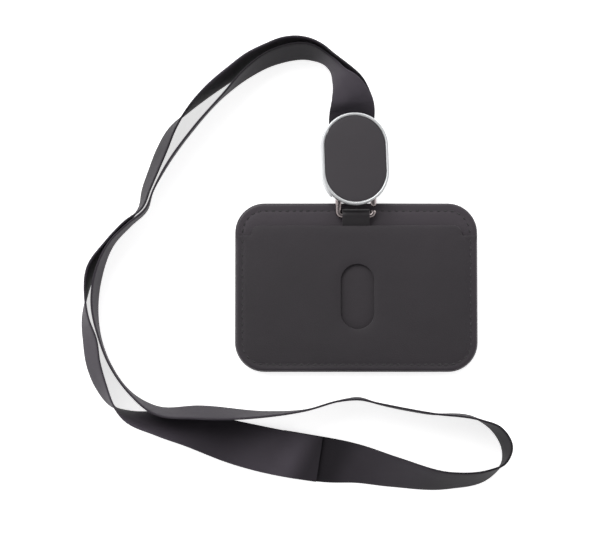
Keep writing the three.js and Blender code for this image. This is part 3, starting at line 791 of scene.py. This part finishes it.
def plate_walls(loops, narrow, wide, bevel_at):
    """A plate's walls along two edge profiles, as (vertices, faces, lower rims, upper rims)."""
    vertices, faces, low_rims, high_rims = [], [], [], []
    for number, loop in enumerate(loops):
        side = 1 if number == 0 else -1
        start, count = len(vertices), len(loop)
        widths = [bevel_at(*point) if side > 0 else 0.0 for point in loop]
        for (thin, thin_z), (thick, thick_z) in zip(narrow, wide):
            insets = [side * (thin + (thick - thin) * w) for w in widths]
            for (x, y), w in zip(offset_loop(loop, insets), widths):
                vertices.append((x, y, thin_z + (thick_z - thin_z) * w))
        top = start + (len(wide) - 1) * count
        for ring in range(start, top, count):
            for k in range(count):
                a, b = ring + k, ring + (k + 1) % count
                faces.append((a, b, b + count, a + count)[::side])
        low_rims.append(range(start, start + count))
        high_rims.append(range(top, top + count))
    return vertices, faces, low_rims, high_rims


def cover_rims(vertices, rims, z, lift, guides, spacing):
    """Triangles over a plate's face between its rims; the points that they add go to vertices."""
    corners = [index for rim in rims for index in rim]
    flat = [[vertices[index][:2] for index in rim] for rim in rims]
    coords, triangles, rim_point = face_triangles(flat, guides, spacing)
    vertex_of = []
    for (x, y), corner in zip(coords, rim_point):
        if corner is None:
            vertex_of.append(len(vertices))
            vertices.append((x, y, z + (lift(x, y) if lift else 0)))
        else:
            vertex_of.append(corners[corner])
    return [tuple(vertex_of[c] for c in triangle) for triangle in triangles]


def plate(name, outline, holes, low_z, high_z, edge_r, material, body, slot, upper=None,
          lower=None, guides=(), spacing=2.5 * MM, matrix=None, bevel=None,
          bevel_at=lambda x, y: 1.0, painted=None):
    """A plate with rounded edges. upper and lower give the height that a point (x, y) of the upper
    and the lower face is moved by, and guides are points that the faces' triangles follow. bevel
    is the width and height of a wider rounding over the outline's upper edge, and bevel_at says
    how much of it there is at a point, from 0 to 1. painted says how much edge paint and painted
    highlight there is."""
    loops = [densified(without_repeats(loop), spacing) for loop in [outline, *holes]]
    narrow = edge_profile(low_z, high_z, edge_r, (edge_r, edge_r))
    wide = edge_profile(low_z, high_z, edge_r, bevel or (edge_r, edge_r))
    vertices, faces, low_rims, high_rims = plate_walls(loops, narrow, wide, bevel_at)
    below = cover_rims(vertices, low_rims, low_z, lower, guides, spacing)
    faces += [triangle[::-1] for triangle in below]
    faces += cover_rims(vertices, high_rims, high_z, upper, guides, spacing)
    placed = [matrix @ Vector(v) for v in vertices] if matrix else vertices
    piece = mesh_piece(name, placed, faces, material, body)
    if painted:
        mark_edge_paint_and_highlight(piece, [painted(x, y) for x, y, _ in vertices])
    return piece


def around(points, i):
    """The points before and after a point of a line, or the point itself at the line's end."""
    return points[max(i - 1, 0)], points[min(i + 1, len(points) - 1)]


def distances_along(points):
    distances = [0.0]
    for before, after in zip(points, points[1:]):
        distances.append(distances[-1] + (after - before).length)
    return distances


def strip(name, stations, width, thickness, edge_r, material, body):
    """A flat strip through stations of (centre, across, face), with coordinates along and across
    it in its "strap" map."""
    section = rounded_section(width, thickness, edge_r)
    sides = len(section)
    vertices = []
    for centre, across, face in stations:
        vertices += [centre + across * a + face * b for a, b in section]
    piece = mesh_piece(name, vertices, skin_faces(len(stations), sides), material, body)
    side = width / 2 - edge_r
    # marks the side faces for edge paint and painted highlight, which the leather's material reads
    mark_edge_paint_and_highlight(piece, [float(abs(a) > side) for a, b in section] * len(stations))
    distances = distances_along([centre for centre, _, _ in stations])
    layer = piece.data.uv_layers.new(name="strap")
    for loop in piece.data.loops:
        ring, corner = divmod(loop.vertex_index, sides)
        layer.data[loop.index].uv = (distances[ring], section[corner][0])
    sharpen(piece, 50)
    return piece


def tube(name, centres, radius_at, material, body, sides=20):
    """A round wire or cord through centres that lie at one height. radius_at gives the radius at a
    distance from the start, of the whole length."""
    up = Vector((0, 0, 1))
    distances = distances_along(centres)
    vertices = []
    for i, (centre, distance) in enumerate(zip(centres, distances)):
        before, after = around(centres, i)
        side = up.cross(after - before).normalized()
        radius = radius_at(distance, distances[-1])
        vertices += [centre + up * b - side * a for a, b in arc((0, 0), radius, 0, 360, sides)[:-1]]
    return mesh_piece(name, vertices, skin_faces(len(centres), sides), material, body)


# ---- Strap ----


def smooth_rows(rows, steps):
    """Cubic pieces through the rows, whose slopes allow for uneven spacing, as the solids have."""
    spans = [math.dist(a[:2], b[:2]) for a, b in zip(rows, rows[1:])]
    columns = range(len(rows[0]))
    rates = [[(b[k] - a[k]) / span for k in columns] for a, b, span in zip(rows, rows[1:], spans)]
    slopes = [rates[0]]
    for before, after, rate, next_rate in zip(spans, spans[1:], rates, rates[1:]):
        slopes.append([(rate[k] * after + next_rate[k] * before) / (before + after)
                       for k in columns])
    slopes.append(rates[-1])
    smooth = []
    for i in range(len(rows) - 1):
        for step in range(steps):
            t = step / steps
            rise = t * t * (3 - 2 * t)
            leave = t * (1 - t) ** 2 * spans[i]
            arrive = t * t * (t - 1) * spans[i]
            smooth.append([
                rows[i][k] + (rows[i + 1][k] - rows[i][k]) * rise
                + slopes[i][k] * leave + slopes[i + 1][k] * arrive
                for k in columns
            ])
    smooth.append(list(rows[-1]))
    return smooth


def strand_stations(rows):
    """The strand's (centre, across, face) along its route."""
    smooth = smooth_rows(rows, STEPS_PER_POINT)
    stations = []
    for i, (x, y, lean, lift) in enumerate(smooth):
        before, after = around(smooth, i)
        along = Vector((after[0] - before[0], after[1] - before[1], 0)).normalized()
        cos, sin = math.cos(math.radians(lean)), math.sin(math.radians(lean))
        across = Vector((along.y * cos, -along.x * cos, sin))
        half_height = (STRAP_W * abs(sin) + STRAP_T * abs(cos)) / 2
        centre = Vector((x, y, STRAP_CLEARANCE + lift + half_height))
        stations.append((centre, across, across.cross(along)))
    return stations


def make_strand(name, node, rows, material):
    stations = strand_stations(rows)
    piece = strip(name, stations, STRAP_W, STRAP_T, STRAP_T / 2, material, "reel")
    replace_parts(piece, node)
    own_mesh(piece)


def make_strap_fold(material):
    """The strap's turn round its pin, with two short ends that the strands go on from."""
    radius = STRAP_PIN_R + STRAP_PIN_GAP + STRAP_T / 2
    low, high = STRAP_PIN_Z - radius, STRAP_PIN_Z + radius
    past_pin = STRAP_PIN_Y + 1.2 * MM
    path = [(STRAP_FOLD_END_Y, high), (past_pin, high)]
    path += arc((STRAP_PIN_Y, STRAP_PIN_Z), radius, 90, 270, 16)
    path += [(past_pin, low), (STRAP_FOLD_END_Y, low)]
    stations = bent_stations(path, REEL)
    piece = strip("strap_fold_satin", stations, STRAP_W, STRAP_T, STRAP_T / 2, material,
                  "reel")
    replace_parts(piece, "strap_fold")


def bent_stations(path, matrix):
    """Stations of a strip that lies along X and bends through (y, z) points."""
    turn = matrix.to_3x3()
    across = Vector((1, 0, 0))
    stations = []
    for i, (y, z) in enumerate(path):
        before, after = around(path, i)
        along = Vector((0, after[0] - before[0], after[1] - before[1])).normalized()
        centre = matrix @ Vector((0, y, z))
        stations.append((centre, turn @ across, turn @ across.cross(along)))
    return stations


# ---- Stitches ----


def evenly(points, pitch):
    """(place, direction) at even steps along a line of points."""
    total = sum(math.dist(a, b) for a, b in zip(points, points[1:]))
    count = max(1, round(total / pitch))
    step = total / count
    found, walked, target = [], 0.0, step / 2
    for a, b in zip(points, points[1:]):
        length = math.dist(a, b)
        while length and target <= walked + length and len(found) < count:
            t = (target - walked) / length
            way = (Vector(b) - Vector(a)).normalized()
            found.append((Vector(a).lerp(Vector(b), t), way))
            target += step
        walked += length
    return found


def stitch_row(name, places, z, side, material):
    """One mesh of single stitches: short thread loops whose ends go down into the leather. side is
    1 on an upper face and -1 on a lower one."""
    sides, rings = 8, 7
    slant = math.radians(5)
    vertices, faces = [], []
    for place, way in places:
        start = len(vertices)
        along = Matrix.Rotation(slant, 2) @ way
        across = Vector((-along.y, along.x))
        for i in range(rings):
            t = 2 * i / (rings - 1) - 1
            r = STITCH_R * math.sqrt(max(1 - t ** 4, 0.04))
            middle = place + along * (t * STITCH_LENGTH / 2)
            sink = 0.9 * STITCH_R * t * t
            for a, b in arc((0, 0), r, 0, 360, sides)[:-1]:
                spot = middle + across * a
                vertices.append((spot.x, spot.y, z + side * (b - sink)))
        for face in skin_faces(rings, sides):
            faces.append(tuple(start + v for v in face)[::side])
    return mesh_piece(name, vertices, faces, material, "holder")


# ---- Holder ----


def progress(value, start, end):
    """How far a value has come from start to end: 0 before them and 1 after."""
    return min(max((value - start) / (end - start), 0), 1)


def holder_inset(x, y):
    """How far a point is inside the holder's outline."""
    middle_y = (HOLDER_LOW.y + HOLDER_HIGH.y) / 2
    past_x = abs(x) - (HOLDER_HIGH.x - CORNER_R)
    past_y = abs(y - middle_y) - (HOLDER_HIGH.y - middle_y - CORNER_R)
    outside = math.hypot(max(past_x, 0), max(past_y, 0))
    return CORNER_R - outside - min(max(past_x, past_y), 0)


def inset_rectangle(inset, steps=14):
    return rounded_rectangle(HOLDER_HIGH.x - inset, HOLDER_LOW.y + inset, HOLDER_HIGH.y - inset,
                             CORNER_R - inset, steps)


def groove(x, y):
    """The dip that a row of stitches pulls in the leather."""
    off = (holder_inset(x, y) - STITCH_INSET) / GROOVE_W
    return -GROOVE_DEPTH * math.exp(-off * off)


def softness(x, y):
    """Slow waves of soft leather, which die away at its edge."""
    waves = (math.sin(x * 95 + 1.3) * math.cos(y * 120 - 0.4)
             + 0.5 * math.sin((x + y) * 210 + 0.7))
    return WAVE_HEIGHT * waves * progress(holder_inset(x, y), 0, WAVE_FADE)


def upper_leather(x, y):
    return groove(x, y) + softness(x, y)


def front_leather(x, y):
    """The front panel is fuller inside its stitches than at its edge."""
    t = progress(holder_inset(x, y), STITCH_INSET, STITCH_INSET + CROWN_REACH)
    return upper_leather(x, y) + CROWN * t * t * (3 - 2 * t)


def outer_side(x, y):
    """1 on the front panel's sides and bottom, and 0 along its top edge."""
    return progress(y, SHOULDER_Y - 0.5 * MM, SHOULDER_Y - 2.5 * MM)


def edge_paint_and_highlight(x, y):
    """How much edge paint and painted highlight a point has: all at the edge, and a faint painted
    falloff of the light up to the stitches.
    """
    inset = holder_inset(x, y)
    return max(progress(inset, *PAINT_AND_HIGHLIGHT_LINE), HIGHLIGHT_FALLOFF_STRENGTH * progress(inset, *HIGHLIGHT_FALLOFF))


# edge paint and painted highlight, on the front panel's sides and bottom only
def front_edge_paint_and_highlight(x, y):
    return edge_paint_and_highlight(x, y) * outer_side(x, y)


def middle_leather(x, y):
    """The middle panel bellies up in the empty pocket."""
    off_x = (x - THUMB_SLOT_X) / BELLY_REACH[0]
    off_y = (y - sum(THUMB_SLOT_Y) / 2) / BELLY_REACH[1]
    return upper_leather(x, y) + BELLY * math.exp(-(off_x ** 2 + off_y ** 2) ** 2)


def lower_leather(x, y):
    return -groove(x, y)


def stitch_guides():
    points = []
    for inset in (1.5, 2.1, 2.6, 3.0, 3.4, 3.9, 4.6):
        points += densified(inset_rectangle(inset * MM), 1.3 * MM)
    return points


def front_outline():
    """The front panel: rounded below, with a rounded shoulder at each end of its top edge."""
    side, low, top = FRONT_HIGH.x, FRONT_LOW.y, FRONT_HIGH.y
    radius = CORNER_R - (HOLDER_HIGH.x - side)
    shoulder_r = top - SHOULDER_Y - SHOULDER_FILLET
    turn_x = SHOULDER_X - shoulder_r - SHOULDER_FILLET
    fillet_y = SHOULDER_Y + SHOULDER_FILLET
    right = arc((side - radius, low + radius), radius, 270, 360, 14) + [(side, SHOULDER_Y)]
    right += arc((SHOULDER_X, fillet_y), SHOULDER_FILLET, 270, 180, 6)
    right += arc((turn_x, fillet_y), shoulder_r, 0, 90, 10)
    return right + [(-x, y) for x, y in reversed(right)]


def thumb_slot():
    low, high = THUMB_SLOT_Y
    half = (high - low) / 2 - THUMB_SLOT_R
    return stadium(THUMB_SLOT_R, half, (THUMB_SLOT_X, (low + high) / 2), 20, 8)


def side_band(outer_inset, width, top):
    """A U of even width along the holder's sides and bottom, open at the top."""
    outer = [p for p in inset_rectangle(outer_inset) if p[1] < top]
    inner = [p for p in inset_rectangle(outer_inset + width) if p[1] < top]
    half = HOLDER_HIGH.x - outer_inset
    points = [(-half, top)] + outer + [(half, top)]
    return points + [(half - width, top)] + inner[::-1] + [(width - half, top)]


def panel(name, node, outline, heights, edge_r, material, slot="leather", holes=(), **shape):
    """A layer of the holder, in the place of a node."""
    piece = plate(name, outline, holes, *heights, edge_r, material, "holder", slot, **shape)
    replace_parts(piece, node)


def make_holder(leather_finish, middle_finish, lining_finish, tab_finish, thread):
    guides = stitch_guides()
    panel("back_leather", "back_panel", inset_rectangle(0),
          (HOLDER_LOW.z, MIDDLE_LOW.z - LAYER_GAP), 0.35 * MM, leather_finish,
          lower=lower_leather, guides=guides, painted=edge_paint_and_highlight)
    panel("middle_leather", "middle_panel", inset_rectangle(0),
          (MIDDLE_LOW.z, SPACER_LOW.z - LAYER_GAP), 0.1 * MM, middle_finish,
          upper=middle_leather, guides=guides, painted=edge_paint_and_highlight, bevel=MIDDLE_BEVEL)
    panel("pocket_lining", "pocket_spacer", side_band(0.5 * MM, 4.5 * MM, SPACER_HIGH.y),
          (SPACER_LOW.z, FRONT_LOW.z - LAYER_GAP), 0.3 * MM, lining_finish, "lining")
    panel("front_leather", "front_panel", front_outline(),
          (FRONT_LOW.z, FRONT_HIGH.z), 0.2 * MM, leather_finish, holes=[thumb_slot()],
          upper=front_leather, guides=guides, painted=front_edge_paint_and_highlight, bevel=FRONT_BEVEL,
          bevel_at=outer_side)
    make_holder_stitches(thread)
    make_tab(tab_finish)


def make_holder_stitches(thread):
    """Rows on both sides of the tab, round the front panel, and all round the back."""
    line = inset_rectangle(STITCH_INSET, 18)
    side = HOLDER_HIGH.x - STITCH_INSET
    top = HOLDER_HIGH.y - STITCH_INSET
    above = [p for p in line if p[1] > SHOULDER_Y + 1 * MM]
    below = [p for p in line if p[1] < SHOULDER_Y]
    upper_end = SHOULDER_Y + 0.8 * MM
    front_end = SHOULDER_Y - 0.9 * MM
    tab_gap = 1.2 * MM
    right_line = [(side, upper_end)] + [p for p in above if p[0] > 0]
    right_line += [(TAB_HIGH.x + tab_gap, top)]
    left_line = [(TAB_LOW.x - tab_gap, top)] + [p for p in above if p[0] < 0]
    left_line += [(-side, upper_end)]
    front_line = [(-side, front_end)] + below + [(side, front_end)]
    middle_z = SPACER_LOW.z - LAYER_GAP - STITCH_SUNK
    front_z = FRONT_HIGH.z - STITCH_SUNK
    for name, node, points, z in (
            ("stitches_top_right", "top_thread_right", right_line, middle_z),
            ("stitches_top_left", "top_thread_left", left_line, middle_z),
            ("stitches_front", "front_thread", front_line, front_z)):
        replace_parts(stitch_row(name, evenly(points, STITCH_PITCH), z, 1, thread), node)
    back_z = HOLDER_LOW.z + STITCH_R + STITCH_SUNK
    stitch_row("stitches_back", evenly(line + line[:1], STITCH_PITCH), back_z, -1, thread)


def make_tab(material):
    """The leather tab: its tail lies in the pocket, and it comes up over the ring's lower bar."""
    bar_y = RING_LOW.y + WIRE_R
    bar_z = (RING_LOW.z + RING_HIGH.z) / 2
    radius = WIRE_R + TAB_GAP + TAB_T / 2
    tail_z = SPACER_LOW.z + TAB_T / 2
    tail_y = TAB_LOW.y
    path = [(tail_y, tail_z), (tail_y + 5 * MM, tail_z), (bar_y - 3 * MM, tail_z)]
    path += arc((bar_y, bar_z), radius, -100, 118, 22)
    end = (FRONT_HIGH.y - 0.6 * MM, tail_z + TAB_T + 0.1 * MM)
    steps = 4
    for i, (y, z) in enumerate(straight(path[-1], end, steps)[1:], 1):
        path.append((y, z + TAB_DROOP * math.sin(math.pi * i / steps)))
    path.append((tail_y + 1.5 * MM, tail_z + TAB_T + LAYER_GAP))
    centre_x = (TAB_LOW.x + TAB_HIGH.x) / 2
    stations = bent_stations(path, Matrix.Translation((centre_x, 0, 0)))
    width = TAB_HIGH.x - TAB_LOW.x
    piece = strip("ring_tab_leather", stations, width, TAB_T, 0.3 * MM, material, "holder")
    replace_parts(piece, "ring_tab")


# ---- Ring and cord ----


def ring_path():
    """The wire's centre line, from the split in its right leg all the way round to it."""
    left, right = RING_LOW.x + WIRE_R, RING_HIGH.x - WIRE_R
    low, high = RING_LOW.y + WIRE_R, RING_HIGH.y - WIRE_R
    z = (RING_LOW.z + RING_HIGH.z) / 2
    r = RING_BEND_R
    points = straight((right, RING_SPLIT_Y + RING_SPLIT / 2), (right, high - r), 14)
    points += arc((right - r, high - r), r, 0, 90, 12)
    points += straight((right - r, high), (left + r, high), 6)
    points += arc((left + r, high - r), r, 90, 180, 12)
    points += straight((left, high - r), (left, low + r), 6)
    points += arc((left + r, low + r), r, 180, 270, 12)
    points += straight((left + r, low), (right - r, low), 6)
    points += arc((right - r, low + r), r, 270, 360, 16)
    points += straight((right, low + r), (right, RING_SPLIT_Y - RING_SPLIT / 2), 2)
    return [Vector((x, y, z)) for x, y in without_repeats(points)]


def make_ring(material):
    rounding = 0.85 * WIRE_R

    def radius_at(distance, length):
        end = min(distance, length - distance)
        if end >= rounding:
            return WIRE_R
        return WIRE_R - rounding + math.sqrt(max(rounding ** 2 - (rounding - end) ** 2, 1e-12))

    piece = tube("wire_ring", ring_path(), radius_at, material, "ring", 28)
    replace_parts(piece, "ring")


def make_pull_cord(material):
    """The braided cord from the reel's outlet to the ferrule, at its length at rest."""
    x = (CORD_LOW.x + CORD_HIGH.x) / 2
    z = (CORD_LOW.z + CORD_HIGH.z) / 2
    radius = (CORD_HIGH.x - CORD_LOW.x) / 2
    line = straight((x, CORD_LOW.y), (x, CORD_HIGH.y), 24)
    piece = tube("pull_cord_braid", [Vector((*point, z)) for point in line],
                 lambda distance, length: radius, material, None, 12)
    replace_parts(piece, "pull_cord")
    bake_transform(piece)


# ---- Reel ----


def bezel_outline():
    """(centre y, angle, lower z) round the bezel; the lower end is cut away for the ring."""
    half = REEL_HALF_STRAIGHT
    edge = math.degrees(math.acos(BEZEL_NOTCH_HALF_W / REEL_R))
    full, cut = BEZEL_Z[0], BEZEL_NOTCH_TOP
    outline = [(half, angle, full) for angle in range(0, 181, 6)]
    outline += [(y, angle, full) for y, angle in straight((half, 180), (-half, 180), 6)[1:-1]]
    for start, end, steps, low in ((180, 180 + edge, 8, full), (180 + edge, 360 - edge, 16, cut),
                                   (360 - edge, 360, 8, full)):
        outline += [(y, angle, low) for y, angle in straight((-half, start), (-half, end), steps)]
    outline += [(y, angle, full) for y, angle in straight((-half, 360), (half, 360), 6)[1:-1]]
    return outline


def make_bezel(material):
    """The silver ring: a wall with a rounded top, and a small chamfer inside its lower edge."""
    round_z = BEZEL_Z[1] - BEZEL_ROUND_R
    profile = [(BEZEL_CHAMFER, None), (0, BEZEL_CHAMFER), (0, round_z - 0.6 * MM)]
    profile += arc((BEZEL_ROUND_R, round_z), BEZEL_ROUND_R, 180, 90, 6)
    profile += arc((BEZEL_WALL - BEZEL_ROUND_R, round_z), BEZEL_ROUND_R, 90, 0, 6)
    profile.append((BEZEL_WALL, None))
    outline = bezel_outline()
    vertices = []
    for centre_y, degrees, low in outline:
        angle = math.radians(degrees)
        for inset, z in profile:
            if z is None:
                z = low
            elif z < BEZEL_NOTCH_TOP:
                z = low + z
            r = REEL_R - inset
            spot = (r * math.cos(angle), REEL_MIDDLE_Y + centre_y + r * math.sin(angle), z)
            vertices.append(REEL @ Vector(spot))
    faces = skin_faces(len(outline), len(profile), closed_path=True)
    piece = mesh_piece("bezel_ring", vertices, [f[::-1] for f in faces], material, "reel")
    sharpen(piece)
    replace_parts(piece, "bezel")


def make_inlay(material):
    """The dark face: a plate with a soft edge and the slightest crown."""
    radius = REEL_R - BEZEL_WALL - INLAY_GAP
    outline = stadium(radius, REEL_HALF_STRAIGHT, (0, REEL_MIDDLE_Y), 32, 6)

    def rise(x, y):
        along = max(abs(y - REEL_MIDDLE_Y) - REEL_HALF_STRAIGHT, 0)
        return INLAY_CROWN * (1 - (x * x + along * along) / radius ** 2)

    piece = plate("inlay_plate", outline, [], INLAY_Z[0], INLAY_Z[1], 0.2 * MM, material,
                  "reel", "inlay", upper=rise, spacing=1.6 * MM, matrix=REEL)
    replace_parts(piece, "face_inlay")


def refinish(node, material, bevel=None):
    """A CAD node that keeps its shape gets its material, and soft edges if bevel is given."""
    piece = frame["nodes"][node]
    piece.data.materials.clear()
    piece.data.materials.append(material)
    if bevel:
        modifier = piece.modifiers.new("soft_edges", "BEVEL")
        modifier.width = bevel
        modifier.segments = 2
        modifier.limit_method = "ANGLE"
        modifier.angle_limit = math.radians(50)


def make_reel(bezel, inlay, housing, spool_finish, steel, cord):
    make_bezel(bezel)
    make_inlay(inlay)
    refinish("spool", spool_finish)
    refinish("wound_cord", cord)
    for node in ("front_housing", "rear_cover"):
        refinish(node, housing, 0.25 * MM)
    for node in ("mainspring", "axle_post", "axle_screw", "outlet_eyelet"):
        refinish(node, steel)
    refinish("strap_pin", steel, 0.1 * MM)
    refinish("cord_ferrule", steel, 0.2 * MM)


# ---- The whole ----

make_view_settings()
make_camera()

outer_satin = satin_ribbon("satin_outer", OUTER_LENGTH, OUTER_PAINTED_LIGHT)
inner_satin = satin_ribbon("satin_inner", INNER_LENGTH, INNER_PAINTED_LIGHT)
make_strand("strap_outer_satin", "strap_outer", OUTER_STRAND, outer_satin)
make_strand("strap_inner_satin", "strap_inner", INNER_STRAND, inner_satin)
make_strap_fold(outer_satin)

make_floor()
make_lights()

steel_finish = drawn_steel("drawn_steel", (0.5, 0.5, 0.51), 0.28)
cord_finish = braided_cord()
housing_finish = moulded_plastic("housing_black", (0.022, 0.022, 0.024), 0.5)
spool_white = moulded_plastic("spool_white", (0.75, 0.74, 0.7), 0.45)
make_reel(bezel_metal(), inlay_finish(), housing_finish, spool_white, steel_finish, cord_finish)
make_pull_cord(cord_finish)
make_ring(ring_metal())
make_holder(leather("charcoal_leather", (0.022, 0.0181, 0.0223)),
            # painted light: a lighter copy of the leather, painted much lighter again towards its
            # upper edge
            leather("charcoal_leather_inner", (0.0248, 0.0203, 0.025), painted_light_tone=1.95),
            leather("pocket_lining", (0.014, 0.0125, 0.0145), 0.7),
            leather("tab_leather", (0.014, 0.0115, 0.0142), 0.46, painted_light_tone=1.0),
            thread_finish())
